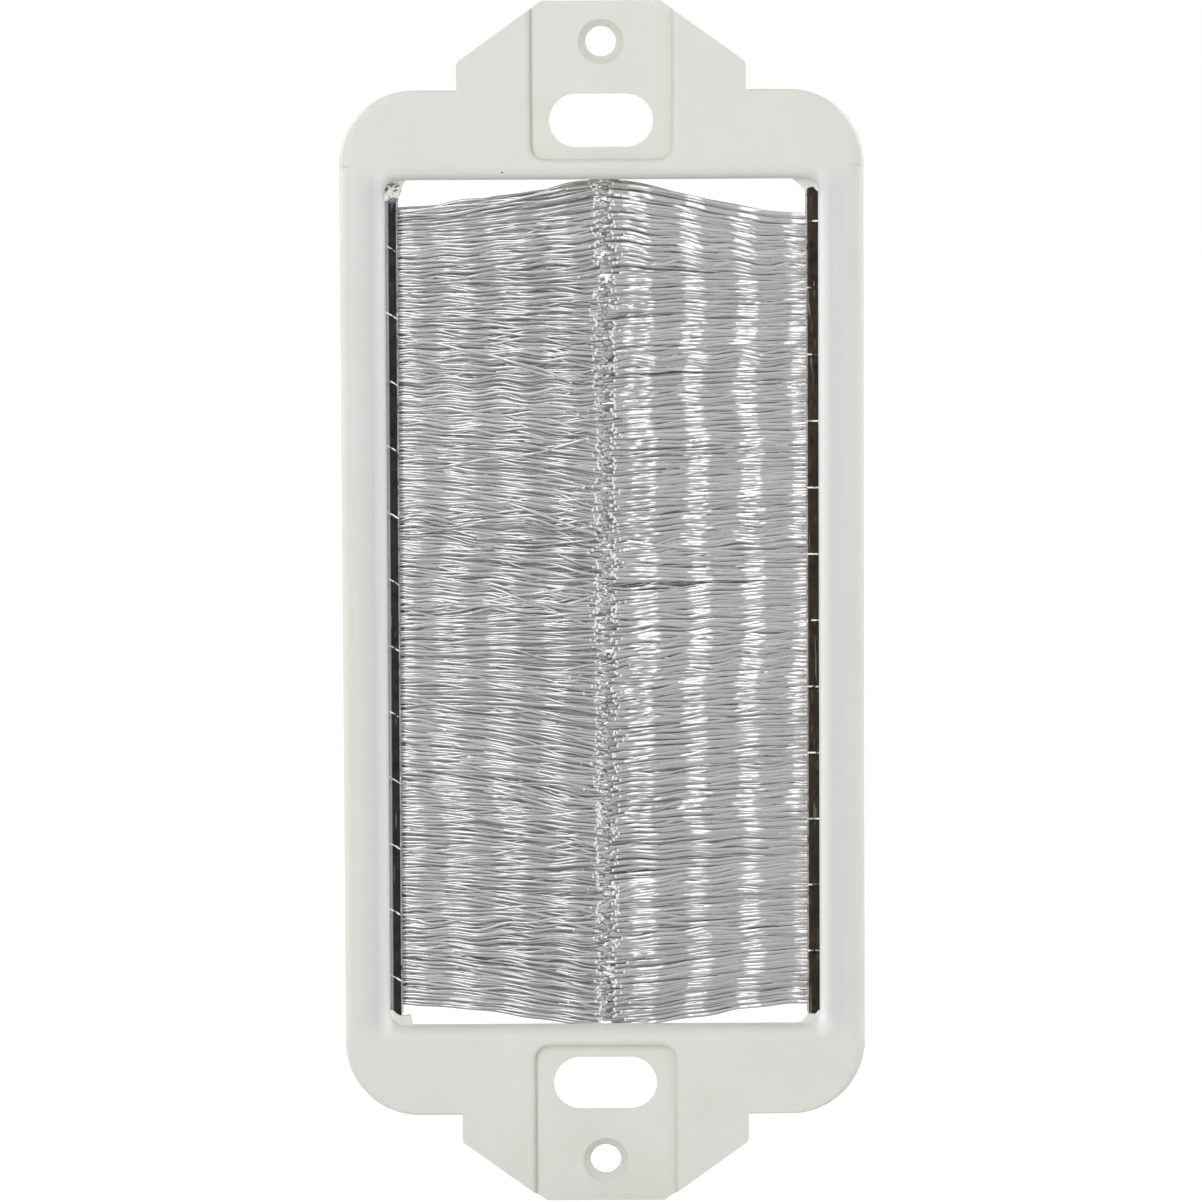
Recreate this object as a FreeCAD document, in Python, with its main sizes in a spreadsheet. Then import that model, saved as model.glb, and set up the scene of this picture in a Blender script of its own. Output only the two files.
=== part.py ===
import FreeCAD, Part
import math
import os
import Sketcher

# Brush cable grommet for a single wall box: a stamped strap with a window and two strip brushes at its sides.
# Millimetres, +Z up as it is screwed to the wall, front towards -Y. The origin is the middle of the front face.

V = FreeCAD.Vector
doc = FreeCAD.newDocument("brush_cable_grommet")

SIZES = {
    # strap outline and screw positions, set by the wall box
    "slot_spacing": 83.34,
    "slot_length": 8.9,
    "slot_width": 4.6,
    "slot_to_edge": 2.63,
    "hole_step": 6.75,
    "hole_dia": 2.64,
    "hole_to_tip": 3.5,
    "plate_width": 45.0,
    "plate_corner": 6.4,
    "ear_width": 24.8,
    "ear_taper": 5.25,
    "ear_corner": 0.6,
    "tip_width": 10.2,
    # sheet and window
    "sheet": 0.9,
    "bend_inner": 0.3,
    "fold_inner": 0.5,
    "side_roll": 1.7,
    "corner_ease": 0.8,
    "corner_fade": 0.25,
    "bar_width": 3.9,
    "end_bar": 7.7,
    "window_corner": 1.2,
    "rim_depth": 2.1,
    "return_lip": 3.4,
    # pressed-in pads and drawn screw holes in the ears
    "recess_width": 12.06,
    "recess_depth": 0.8,
    "recess_corner": 1.2,
    "recess_edge": 0.5,
    "recess_margin": 0.05,
    "joggle_wall": 0.8,
    "collar_wall": 0.75,
    "collar_depth": 1.0,
    "hole_mouth": 0.65,
    # brush channels
    "channel_height": 3.2,
    "channel_wall": 0.45,
    "channel_bend": 0.55,
    "channel_show": 1.05,
    "channel_gap": 0.6,
    "channel_seat": 0.05,
    "pinch_depth": 0.25,
    "pinch_length": 0.4,
    "pinch_round": 0.3,
    "nick_pitch": 5.75,
    "nick_width": 0.35,
    "nick_depth": 0.15,
    "nick_margin": 3.1,
    "nick_slant": 0.45,
    # core wires and bristles
    "wire_dia": 1.1,
    "wire_fit": 0.03,
    "pack_fit": 0.05,
    "root_gap": 1.75,
    "tip_gap": 0.15,
    "tip_bevel": 0.5,
    "tip_clear": 0.3,
    "flare": 4.6,
    "tip_thickness": 2.2,
    "crimp_pitch": 4.7,
    "crimp_height": 0.4,
    "lock_pitch": 5.1,
    "lock_depth": 0.9,
}

sheet = doc.addObject("Spreadsheet::Sheet", "sizes")
for row, (alias, number) in enumerate(SIZES.items(), start=1):
    sheet.set("A%d" % row, alias)
    sheet.set("B%d" % row, str(number))
    sheet.setAlias("B%d" % row, alias)
doc.recompute()


def size(expression):
    """The number that an expression of the sheet's values comes to."""
    return float(sheet.evalExpression(expression))


# Places that several pieces share, as expressions of the sheet
SLOT_Z = "(sizes.slot_spacing / 2)"
HOLE_Z = "(sizes.slot_spacing / 2 + sizes.hole_step)"
TIP_Z = "(sizes.slot_spacing / 2 + sizes.hole_step + sizes.hole_to_tip)"
PLATE_X = "(sizes.plate_width / 2)"
PLATE_Z = "(sizes.slot_spacing / 2 + sizes.slot_to_edge)"
WINDOW_X = "(sizes.plate_width / 2 - sizes.bar_width)"
WINDOW_Z = "(sizes.slot_spacing / 2 + sizes.slot_to_edge - sizes.end_bar)"
BEND = "(sizes.bend_inner + sizes.sheet)"
FOLD = "(sizes.fold_inner + sizes.sheet)"
RAIL_Z = f"({PLATE_Z} - sizes.plate_corner)"
RAIL_Y = "(sizes.rim_depth + sizes.channel_height + sizes.sheet)"
RECESS_X = "(sizes.recess_width / 2)"
RECESS_Z = f"({WINDOW_Z} + {BEND} + sizes.recess_margin + sizes.recess_edge)"
PAD_BACK = "(sizes.sheet + sizes.recess_depth)"
MOUTH_X = f"({WINDOW_X} - sizes.channel_show)"
BACK_X = f"({PLATE_X} - sizes.sheet - sizes.channel_seat)"
CHANNEL_Y0 = "sizes.rim_depth"
CHANNEL_Y1 = "(sizes.rim_depth + sizes.channel_height)"
CHANNEL_Z = f"({WINDOW_Z} - sizes.channel_gap)"
MIDDLE_Y = "(sizes.rim_depth + sizes.channel_height / 2)"
BULB_R = "(sizes.channel_height / 2 - sizes.channel_wall - sizes.pack_fit)"
WIRE_X = f"({BACK_X} - sizes.channel_wall - sizes.pack_fit - {BULB_R})"
NECK = "(sizes.channel_height / 2 - sizes.channel_wall - sizes.pinch_depth - sizes.pack_fit)"
ROOT_Z = f"({CHANNEL_Z} - sizes.root_gap)"


def origin_plane(body, role):
    return next(o for o in body.Origin.OriginFeatures if o.Role == role)


def new_sketch(body, role, label, offset=None):
    sketch = body.newObject("Sketcher::SketchObject", label)
    sketch.AttachmentSupport = [(origin_plane(body, role), "")]
    sketch.MapMode = "FlatFace"
    if offset:
        sketch.setExpression("AttachmentOffset.Base.z", offset)
    return sketch


def tie(sketch, kind, geometry, point, expression):
    """Ties one coordinate of a sketch point to the sheet, measured from the sketch's origin."""
    value = size(expression)
    if abs(value) < 1e-9:
        axis = -2 if kind == "DistanceX" else -1
        sketch.addConstraint(Sketcher.Constraint("PointOnObject", geometry, point, axis))
        return
    if value > 0:
        number = sketch.addConstraint(Sketcher.Constraint(kind, -1, 1, geometry, point, value))
        sketch.setExpression("Constraints[%d]" % number, expression)
    else:
        number = sketch.addConstraint(Sketcher.Constraint(kind, geometry, point, -1, 1, -value))
        sketch.setExpression("Constraints[%d]" % number, f"-({expression})")


def draw_loop(sketch, corners):
    """Draws a closed loop. A corner is (x, y), or (x, y, centre x, centre y, turn) where an arc leaves it."""
    places = [V(size(c[0]), size(c[1]), 0) for c in corners]
    segments = []
    for number, corner in enumerate(corners):
        start = places[number]
        end = places[(number + 1) % len(places)]
        if len(corner) == 2:
            segments.append((sketch.addGeometry(Part.LineSegment(start, end)), 1, 2))
            continue
        centre = V(size(corner[2]), size(corner[3]), 0)
        circle = Part.Circle(centre, V(0, 0, 1), (start - centre).Length)
        first, last = (start, end) if corner[4] == "left" else (end, start)
        a0 = math.atan2(first.y - centre.y, first.x - centre.x)
        a1 = math.atan2(last.y - centre.y, last.x - centre.x)
        if a1 < a0:
            a1 += 2 * math.pi
        ends = (1, 2) if corner[4] == "left" else (2, 1)
        segments.append((sketch.addGeometry(Part.ArcOfCircle(circle, a0, a1)), *ends))
    for number, corner in enumerate(corners):
        geometry, head, _ = segments[number]
        before, _, tail = segments[number - 1]
        sketch.addConstraint(Sketcher.Constraint("Coincident", before, tail, geometry, head))
        tie(sketch, "DistanceX", geometry, head, corner[0])
        tie(sketch, "DistanceY", geometry, head, corner[1])
        if len(corner) == 5:
            tie(sketch, "DistanceX", geometry, 3, corner[2])


def draw_circle(sketch, x, y, radius):
    circle = sketch.addGeometry(Part.Circle(V(size(x), size(y), 0), V(0, 0, 1), size(radius)))
    tie(sketch, "DistanceX", circle, 3, x)
    tie(sketch, "DistanceY", circle, 3, y)
    number = sketch.addConstraint(Sketcher.Constraint("Radius", circle, size(radius)))
    sketch.setExpression("Constraints[%d]" % number, radius)


def box_corners(x, z):
    """The corners of a rectangle about the origin, from its half width and half height."""
    return [(f"-{x}", f"-{z}"), (x, f"-{z}"), (x, z), (f"-{x}", z)]


def both_ends(corners):
    """A loop for the upper ear, and the same loop turned half a turn for the lower one."""
    turned = []
    for corner in corners:
        turned.append(tuple(c if c in ("left", "right") else f"-{c}" for c in corner))
    return [corners, turned]


def extrude(body, sketch, label, length, kind="Pad", backwards=True, symmetric=False):
    feature = body.newObject("PartDesign::" + kind, label)
    feature.Profile = sketch
    feature.Reversed = backwards == (kind == "Pad")
    if symmetric:
        feature.SideType = "Symmetric"
    feature.setExpression("Length", length)
    body.Tip = feature
    doc.recompute()
    return feature


def ease_edges(body, label, breadth, wanted, kind):
    """Rounds or bevels those edges of the body that the test picks."""
    base = body.Tip
    names = ["Edge%d" % (n + 1) for n, e in enumerate(base.Shape.Edges) if wanted(e)]
    if not names:
        raise RuntimeError("no edge found for " + label)
    feature = body.newObject("PartDesign::" + kind, label)
    feature.Base = (base, names)
    feature.setExpression("Radius" if kind == "Fillet" else "Size", breadth)
    body.Tip = feature
    doc.recompute()
    if feature.Shape.isNull() or "Invalid" in feature.State:
        raise RuntimeError(label + " could not be made")


def round_edges(body, label, radius, wanted):
    ease_edges(body, label, radius, wanted, "Fillet")


def bevel_edges(body, label, breadth, wanted):
    ease_edges(body, label, breadth, wanted, "Chamfer")


def near(a, b):
    return abs(a - b) < 1e-4


def runs_at(x, z):
    """Picks the edges that run front to back at these distances from the middle."""
    wide, high = size(x), size(z)

    def wanted(edge):
        placed = all(near(abs(v.X), wide) and near(abs(v.Z), high) for v in edge.Vertexes)
        return placed and near(edge.BoundBox.YLength, edge.Length)

    return wanted


def level_loop(y, x, z):
    """Picks the edges that lie at one depth, within these distances from the middle."""
    deep, wide, high = size(y), size(x) + 1e-4, size(z) + 1e-4
    return lambda e: all(near(v.Y, deep) and abs(v.X) < wide and abs(v.Z) < high for v in e.Vertexes)


def make_frame():
    """The strap: plate, ears, folded side rails, window rim, pressed pads, slots and screw holes."""
    body = doc.addObject("PartDesign::Body", "strap")

    outline = new_sketch(body, "XZ_Plane", "plate_outline")
    draw_loop(outline, box_corners(PLATE_X, PLATE_Z))
    extrude(body, outline, "plate", "sizes.sheet")
    round_edges(body, "plate_corners", "sizes.plate_corner", runs_at(PLATE_X, PLATE_Z))

    ear_x = "(sizes.ear_width / 2)"
    tip_x = "(sizes.tip_width / 2)"
    shoulder = f"({TIP_Z} - sizes.ear_taper)"
    ears = new_sketch(body, "XZ_Plane", "ear_outline")
    upper = [(ear_x, shoulder), (tip_x, TIP_Z), (f"-{tip_x}", TIP_Z), (f"-{ear_x}", shoulder)]
    draw_loop(ears, upper + both_ends(upper)[1])
    extrude(body, ears, "ears", "sizes.sheet")
    round_edges(body, "ear_shoulders", "sizes.ear_corner", runs_at(ear_x, shoulder))
    round_edges(body, "ear_tips", "sizes.ear_corner", runs_at(tip_x, TIP_Z))

    # The long edges are folded back into rails: a web, and a lip that returns behind the brush channel
    inner = f"({PLATE_X} - {FOLD})"
    strips = new_sketch(body, "XZ_Plane", "fold_strips")
    for side in ("", "-"):
        strip = [(inner, f"-{RAIL_Z}"), (f"({PLATE_X} + sizes.sheet)", f"-{RAIL_Z}")]
        strip += [(f"({PLATE_X} + sizes.sheet)", RAIL_Z), (inner, RAIL_Z)]
        draw_loop(strips, [(side + x, z) for x, z in strip])
    extrude(body, strips, "fold_cut", "sizes.sheet", "Pocket")
    far = f"({RAIL_Y} - {FOLD})"
    web_in = f"({PLATE_X} - sizes.sheet)"
    lip_x = f"({PLATE_X} - sizes.return_lip)"
    section = [
        (inner, "0", inner, FOLD, "left"),
        (PLATE_X, FOLD),
        (PLATE_X, far, inner, far, "left"),
        (inner, RAIL_Y),
        (lip_x, RAIL_Y),
        (lip_x, f"({RAIL_Y} - sizes.sheet)"),
        (inner, f"({RAIL_Y} - sizes.sheet)", inner, far, "right"),
        (web_in, far),
        (web_in, FOLD, inner, FOLD, "right"),
        (inner, "sizes.sheet"),
    ]
    fold = new_sketch(body, "XY_Plane", "rail_section")
    draw_loop(fold, section)
    rail = extrude(body, fold, "rail", f"2 * {RAIL_Z}", symmetric=True)
    pair = body.newObject("PartDesign::Mirrored", "rails")
    pair.Originals = [rail]
    pair.MirrorPlane = (origin_plane(body, "YZ_Plane"), [""])
    body.Tip = pair
    doc.recompute()

    # The window has a rim rolled back all round, which also presses on the channels
    rim_x = f"({WINDOW_X} + sizes.sheet)"
    rim_z = f"({WINDOW_Z} + sizes.sheet)"
    block = new_sketch(body, "XZ_Plane", "rim_outline")
    draw_loop(block, box_corners(rim_x, rim_z))
    extrude(body, block, "rim", "sizes.rim_depth")
    round_edges(body, "rim_corners", "sizes.window_corner + sizes.sheet", runs_at(rim_x, rim_z))
    window = new_sketch(body, "XZ_Plane", "window_outline")
    draw_loop(window, box_corners(WINDOW_X, WINDOW_Z))
    extrude(body, window, "window", "sizes.rim_depth", "Pocket")
    round_edges(body, "window_corners", "sizes.window_corner", runs_at(WINDOW_X, WINDOW_Z))
    bevel_edges(body, "rim_inside", "sizes.bend_inner", level_loop("sizes.sheet", rim_x, rim_z))

    # Each ear has a pad pressed in from the front, so the same shape stands out at the back
    back_x = f"({RECESS_X} + sizes.joggle_wall)"
    back_z = f"({RECESS_Z} - sizes.joggle_wall)"
    taper = "(2 * sizes.ear_taper / (sizes.ear_width - sizes.tip_width))"
    slope_z = f"({TIP_Z} - ({back_x} - {tip_x}) * {taper})"
    boss = new_sketch(body, "XZ_Plane", "pad_back_outline", "-sizes.sheet / 2")
    corners = [(back_x, back_z), (back_x, slope_z), (tip_x, TIP_Z)]
    corners += [(f"-{x}", z) for x, z in reversed(corners)]
    for loop in both_ends(corners):
        draw_loop(boss, loop)
    extrude(body, boss, "pad_backs", f"{PAD_BACK} - sizes.sheet / 2")
    press = new_sketch(body, "XZ_Plane", "pad_outline")
    beyond = f"({TIP_Z} + sizes.sheet)"
    corners = [(RECESS_X, RECESS_Z), (RECESS_X, beyond), (f"-{RECESS_X}", beyond), (f"-{RECESS_X}", RECESS_Z)]
    for loop in both_ends(corners):
        draw_loop(press, loop)
    extrude(body, press, "pads", "sizes.recess_depth", "Pocket")
    round_edges(body, "pad_corners", "sizes.recess_corner", runs_at(RECESS_X, RECESS_Z))

    # Drawn holes for the cover's screws, and cross slots for the box screws
    collar_r = "(sizes.hole_dia / 2 + sizes.collar_wall)"
    collars = new_sketch(body, "XZ_Plane", "collar_outline", f"-{PAD_BACK} + sizes.sheet / 2")
    for z in (HOLE_Z, f"-{HOLE_Z}"):
        draw_circle(collars, "0", z, collar_r)
    extrude(body, collars, "collars", "sizes.collar_depth + sizes.sheet / 2")
    holes = new_sketch(body, "XZ_Plane", "hole_outline")
    for z in (HOLE_Z, f"-{HOLE_Z}"):
        draw_circle(holes, "0", z, "sizes.hole_dia / 2")
    extrude(body, holes, "holes", f"{PAD_BACK} + 2 * sizes.collar_depth", "Pocket")
    slot_r = "(sizes.slot_width / 2)"
    slot_x = "(sizes.slot_length / 2 - sizes.slot_width / 2)"
    low, high = f"({SLOT_Z} - {slot_r})", f"({SLOT_Z} + {slot_r})"
    slots = new_sketch(body, "XZ_Plane", "slot_outline")
    corners = [
        (slot_x, low, slot_x, SLOT_Z, "left"),
        (slot_x, high),
        (f"-{slot_x}", high, f"-{slot_x}", SLOT_Z, "left"),
        (f"-{slot_x}", low),
    ]
    for loop in both_ends(corners):
        draw_loop(slots, loop)
    extrude(body, slots, "slots", f"{PAD_BACK} + sizes.sheet", "Pocket")

    deep, wide, inward = size("sizes.recess_depth"), size(RECESS_X), size(RECESS_Z)

    def pad_rim(edge):
        inside = all(near(v.Y, 0) and abs(v.X) < wide + 1e-4 for v in edge.Vertexes)
        if not inside or any(abs(v.Z) < inward - 1e-4 for v in edge.Vertexes):
            return False
        middle = edge.CenterOfMass
        straight = near(abs(middle.x), wide) or near(abs(middle.z), inward)
        curve = edge.Curve
        turned = isinstance(curve, Part.Circle) and near(curve.Radius, size("sizes.recess_corner"))
        return straight or turned

    round_edges(body, "pad_rims", "sizes.recess_edge", pad_rim)

    def hole_mouth(edge):
        curve = edge.Curve
        return (
            isinstance(curve, Part.Circle)
            and near(curve.Radius, size("sizes.hole_dia / 2"))
            and near(curve.Center.y, deep)
            and near(curve.Center.x, 0)
        )

    bevel_edges(body, "hole_mouths", "sizes.hole_mouth", hole_mouth)
    return roll_edges(body)


def radii_along(chain, radius_at):
    """Radii at both ends of each numbered edge, in the direction in which the chain's first edge runs."""
    forward = chain[0][1].Orientation == "Forward"
    rows = []
    for number, edge in chain:
        ends = [edge.firstVertex(True), edge.lastVertex(True)]
        if not forward:
            ends.reverse()
        rows.append((number, radius_at(ends[0]), radius_at(ends[1])))
    return rows


def roll_edges(body):
    """Rolls the window's rim, wide at the sides and tight at the ends, and eases the plate's corners to nothing."""
    numbered = list(enumerate(body.Shape.Edges, start=1))
    in_window, wide, rail = level_loop("0", WINDOW_X, WINDOW_Z), size(WINDOW_X), size(RAIL_Z)
    corner_r = size("sizes.plate_corner")

    def plate_corner(edge):
        level = all(near(v.Y, 0) for v in edge.Vertexes)
        return level and isinstance(edge.Curve, Part.Circle) and near(edge.Curve.Radius, corner_r)

    side, end = size("sizes.side_roll"), size(BEND)
    ease, fade = size("sizes.corner_ease"), size("sizes.corner_fade")
    rim = [(number, edge) for number, edge in numbered if in_window(edge)]
    rows = radii_along(rim, lambda v: side if near(abs(v.X), wide) else end)
    for number, edge in numbered:
        if plate_corner(edge):
            rows += radii_along([(number, edge)], lambda v: ease if near(abs(v.Z), rail) else fade)
    rolled = doc.addObject("Part::Fillet", "frame")
    rolled.Base = body
    rolled.Edges = rows
    doc.recompute()
    return rolled


def make_channel(label, slant, turned):
    """A folded channel with a pinched mouth and a row of crimp nicks across each leg."""
    body = doc.addObject("PartDesign::Body", label)
    wall, bend = "sizes.channel_wall", "(sizes.channel_wall + sizes.channel_bend)"
    y0, y1 = CHANNEL_Y0, CHANNEL_Y1
    turn_x = f"({BACK_X} - {bend})"
    lip_in = f"({MOUTH_X} + sizes.pinch_length)"
    leg_in = f"({MOUTH_X} + 2 * sizes.pinch_length)"
    pinch = f"({wall} + sizes.pinch_depth)"
    section = [
        (MOUTH_X, y0),
        (turn_x, y0, turn_x, f"({y0} + {bend})", "left"),
        (BACK_X, f"({y0} + {bend})"),
        (BACK_X, f"({y1} - {bend})", turn_x, f"({y1} - {bend})", "left"),
        (turn_x, y1),
        (MOUTH_X, y1),
        (MOUTH_X, f"({y1} - {pinch})"),
        (lip_in, f"({y1} - {pinch})"),
        (leg_in, f"({y1} - {wall})"),
        (turn_x, f"({y1} - {wall})", turn_x, f"({y1} - {bend})", "right"),
        (f"({BACK_X} - {wall})", f"({y1} - {bend})"),
        (f"({BACK_X} - {wall})", f"({y0} + {bend})", turn_x, f"({y0} + {bend})", "right"),
        (turn_x, f"({y0} + {wall})"),
        (leg_in, f"({y0} + {wall})"),
        (lip_in, f"({y0} + {pinch})"),
        (MOUTH_X, f"({y0} + {pinch})"),
    ]
    profile = new_sketch(body, "XY_Plane", label + "_section")
    draw_loop(profile, section)
    extrude(body, profile, label + "_strip", f"2 * {CHANNEL_Z}", backwards=False, symmetric=True)
    mouth, lows = size(MOUTH_X), (size(y0), size(y1))
    round_edges(
        body,
        label + "_mouth",
        "sizes.pinch_round",
        lambda e: all(near(v.X, mouth) and any(near(v.Y, y) for y in lows) for v in e.Vertexes)
        and e.Length > size(CHANNEL_Z),
    )

    # The first nick of each row, then the row down the channel
    half = "(sizes.nick_width / 2)"
    top = f"({CHANNEL_Z} - sizes.nick_margin)"
    lean = f"(sizes.nick_slant * ({turn_x} - {MOUTH_X}) / 2 * {slant})"
    start_x = f"({MOUTH_X} - sizes.channel_wall)"
    nick = [
        (start_x, f"({top} - {half} - {lean})"),
        (turn_x, f"({top} - {half} + {lean})"),
        (turn_x, f"({top} + {half} + {lean})"),
        (start_x, f"({top} + {half} - {lean})"),
    ]
    cuts = []
    for name, depth, backwards in (("front", y0, True), ("back", y1, False)):
        outline = new_sketch(body, "XZ_Plane", f"{label}_{name}_nick", f"-{depth}")
        draw_loop(outline, nick)
        cuts.append(extrude(body, outline, f"{label}_{name}_cut", "sizes.nick_depth", "Pocket", backwards))
    row = body.newObject("PartDesign::LinearPattern", label + "_nicks")
    row.Originals = cuts
    row.Direction = (next(o for o in body.Origin.OriginFeatures if o.Role == "Z_Axis"), [""])
    row.Reversed = True
    row.Mode = "Spacing"
    row.setExpression("Offset", "sizes.nick_pitch")
    count = f"floor((2 * {CHANNEL_Z} - 1.6 * sizes.nick_margin) / sizes.nick_pitch) + 1"
    row.setExpression("Occurrences", count)
    body.Tip = row
    if turned:
        body.Placement = FreeCAD.Placement(V(0, 0, 0), FreeCAD.Rotation(V(0, 1, 0), 180))
    doc.recompute()
    return body


def make_wire(label, side):
    """The core wire that the bristles are folded round."""
    wire = doc.addObject("Part::Cylinder", label)
    wire.setExpression("Radius", "sizes.wire_dia / 2")
    wire.setExpression("Height", f"2 * {CHANNEL_Z}")
    wire.setExpression("Placement.Base.x", side + WIRE_X)
    wire.setExpression("Placement.Base.y", MIDDLE_Y)
    wire.setExpression("Placement.Base.z", f"-{CHANNEL_Z}")
    doc.recompute()
    return wire


def pad_section(x, half_z, half_y, shift, depth, locks):
    """The corners of one cross section of a bristle pad, ridged where the bristles lie in locks."""
    middle = size(MIDDLE_Y) + shift
    steps = 2 * locks
    front, back = [], []
    for step in range(steps + 1):
        z = half_z * (2 * step / steps - 1)
        thick = half_y - (0 if step % 2 else depth)
        front.append(V(x, middle - thick, z))
        back.append(V(x, middle + thick, z))
    return front + back[::-1]


def flat_face(*corners):
    return Part.Face(Part.makePolygon([*corners, corners[0]]))


def skin(sections):
    """A solid with flat faces through cross sections that have the same number of corners."""
    faces = [flat_face(*sections[0]), flat_face(*sections[-1])]
    for near_ring, far_ring in zip(sections, sections[1:]):
        for number in range(len(near_ring)):
            a, b = near_ring[number - 1], near_ring[number]
            c, d = far_ring[number], far_ring[number - 1]
            faces += [flat_face(a, b, c), flat_face(a, c, d)]
    solid = Part.Solid(Part.makeShell(faces))
    if solid.Volume < 0:
        solid.reverse()
    return solid


def make_bristles():
    """The bristle pad of the right-hand brush: folded round the wire, crimped, fanned out, tips bevelled."""
    mouth, wire_x, middle = size(MOUTH_X), size(WIRE_X), size(MIDDLE_Y)
    root_z, tip_z = size(ROOT_Z), size(f"{WINDOW_Z} - sizes.tip_clear")
    neck, flare = size(NECK), size("sizes.flare / 2")
    lock_depth, crimp = size("sizes.lock_depth"), size("sizes.crimp_height / 2")
    bevel_x = size("sizes.tip_gap + sizes.tip_bevel")
    locks = max(6, round(2 * root_z / size("sizes.lock_pitch")))
    waves = max(3, round((mouth - bevel_x) / size("sizes.crimp_pitch / 2")))

    inside = (mouth + wire_x) / 2
    sections = [pad_section(inside, root_z * 0.998, neck * 0.96, 0, 0.05 * lock_depth, locks)]
    for wave in range(waves + 1):
        run = wave / waves
        x = mouth + (bevel_x - mouth) * run
        half_z = root_z + (tip_z - root_z) * (0.55 * run + 0.45 * run * run)
        half_y = neck + (flare - neck) * run ** 0.85
        shift = 0 if wave == 0 else crimp * (-1) ** wave * min(1, 2 * run)
        depth = lock_depth * min(1, 0.3 + 0.5 * wave)
        sections.append(pad_section(x, half_z, half_y * 0.98 if wave == 0 else half_y, shift, depth, locks))
    tip = size("sizes.tip_thickness / 2")
    sections.append(pad_section(size("sizes.tip_gap"), tip_z, tip, shift, lock_depth, locks))
    fan = skin(sections)

    low = V(0, 0, -root_z)
    bulb = Part.makeCylinder(size(BULB_R), 2 * root_z, V(wire_x, middle, 0) + low, V(0, 0, 1))
    fold = Part.makeBox(wire_x - mouth, 2 * neck, 2 * root_z, V(mouth, middle - neck, 0) + low)
    bore = size("sizes.wire_dia / 2 + sizes.wire_fit")
    hollow = Part.makeCylinder(bore, 2 * root_z, V(wire_x, middle, 0) + low, V(0, 0, 1))
    return bulb.fuse(fold).cut(hollow).fuse(fan).removeSplitter()


def place_bristles(label, shape, turned):
    pad = doc.addObject("Part::Feature", label)
    pad.Shape = shape
    if turned:
        pad.Placement = FreeCAD.Placement(V(0, 0, 0), FreeCAD.Rotation(V(0, 1, 0), 180))
    return pad


bristles = make_bristles()
nodes = [
    make_frame(),
    make_channel("channel_left", "1", True),
    make_channel("channel_right", "0.1", False),
    make_wire("core_wire_left", "-"),
    make_wire("core_wire_right", ""),
    place_bristles("bristles_left", bristles, True),
    place_bristles("bristles_right", bristles, False),
]
doc.recompute()

for thing in doc.Objects:
    if "Invalid" in thing.State or "Error" in thing.State:
        raise RuntimeError("%s did not build: %s" % (thing.Label, thing.State))

os.makedirs("parts", exist_ok=True)
for node in nodes:
    shape = node.Shape
    if shape.isNull() or not shape.isValid() or len(shape.Solids) != 1:
        raise RuntimeError("%s is not one valid solid" % node.Label)
    shape.exportStep("parts/%s.step" % node.Label)
    box = shape.BoundBox
    spans = ["%.2f to %.2f" % pair for pair in
             ((box.XMin, box.XMax), (box.YMin, box.YMax), (box.ZMin, box.ZMax))]
    print("%-16s %8.1f mm3  x %s  y %s  z %s" % (node.Label, shape.Volume, *spans))
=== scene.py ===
"""Brush cable grommet: a painted strap and its two channels, dressed with folded nylon filaments."""

import math

import bmesh
import bpy
import numpy as np
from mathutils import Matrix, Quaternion, Vector


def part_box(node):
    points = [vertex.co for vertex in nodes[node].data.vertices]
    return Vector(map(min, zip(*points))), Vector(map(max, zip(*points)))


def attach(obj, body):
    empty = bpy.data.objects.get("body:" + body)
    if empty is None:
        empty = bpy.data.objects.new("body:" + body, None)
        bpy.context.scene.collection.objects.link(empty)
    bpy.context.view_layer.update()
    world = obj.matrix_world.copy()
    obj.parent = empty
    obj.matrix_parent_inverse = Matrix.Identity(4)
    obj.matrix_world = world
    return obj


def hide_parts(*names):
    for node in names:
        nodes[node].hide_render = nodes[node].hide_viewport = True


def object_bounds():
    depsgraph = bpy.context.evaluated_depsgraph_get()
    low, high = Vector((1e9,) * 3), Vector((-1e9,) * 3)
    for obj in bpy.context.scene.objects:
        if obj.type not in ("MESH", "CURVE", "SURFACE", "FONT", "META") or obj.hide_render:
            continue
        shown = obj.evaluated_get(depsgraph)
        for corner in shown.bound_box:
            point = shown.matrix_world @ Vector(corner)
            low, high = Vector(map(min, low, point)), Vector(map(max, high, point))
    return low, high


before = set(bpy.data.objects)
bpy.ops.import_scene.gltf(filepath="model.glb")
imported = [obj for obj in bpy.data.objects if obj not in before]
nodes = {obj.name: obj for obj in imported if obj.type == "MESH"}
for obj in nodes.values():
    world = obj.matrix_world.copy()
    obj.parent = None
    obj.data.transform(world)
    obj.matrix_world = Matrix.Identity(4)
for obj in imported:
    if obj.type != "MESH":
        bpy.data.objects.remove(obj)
cad_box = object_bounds()
scene = bpy.context.scene

MM = 0.001

# Camera, matched to the photograph's frame, in metres and degrees
CAMERA_DISTANCE = 0.75
CAMERA_ELEVATION = 5.5
CAMERA_ROLL = -0.27
CAMERA_AIM = (-0.2 * MM, 0.0, 0.37 * MM)
FRAME_WIDTH = 103.45 * MM
SENSOR_WIDTH = 36.0

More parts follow.
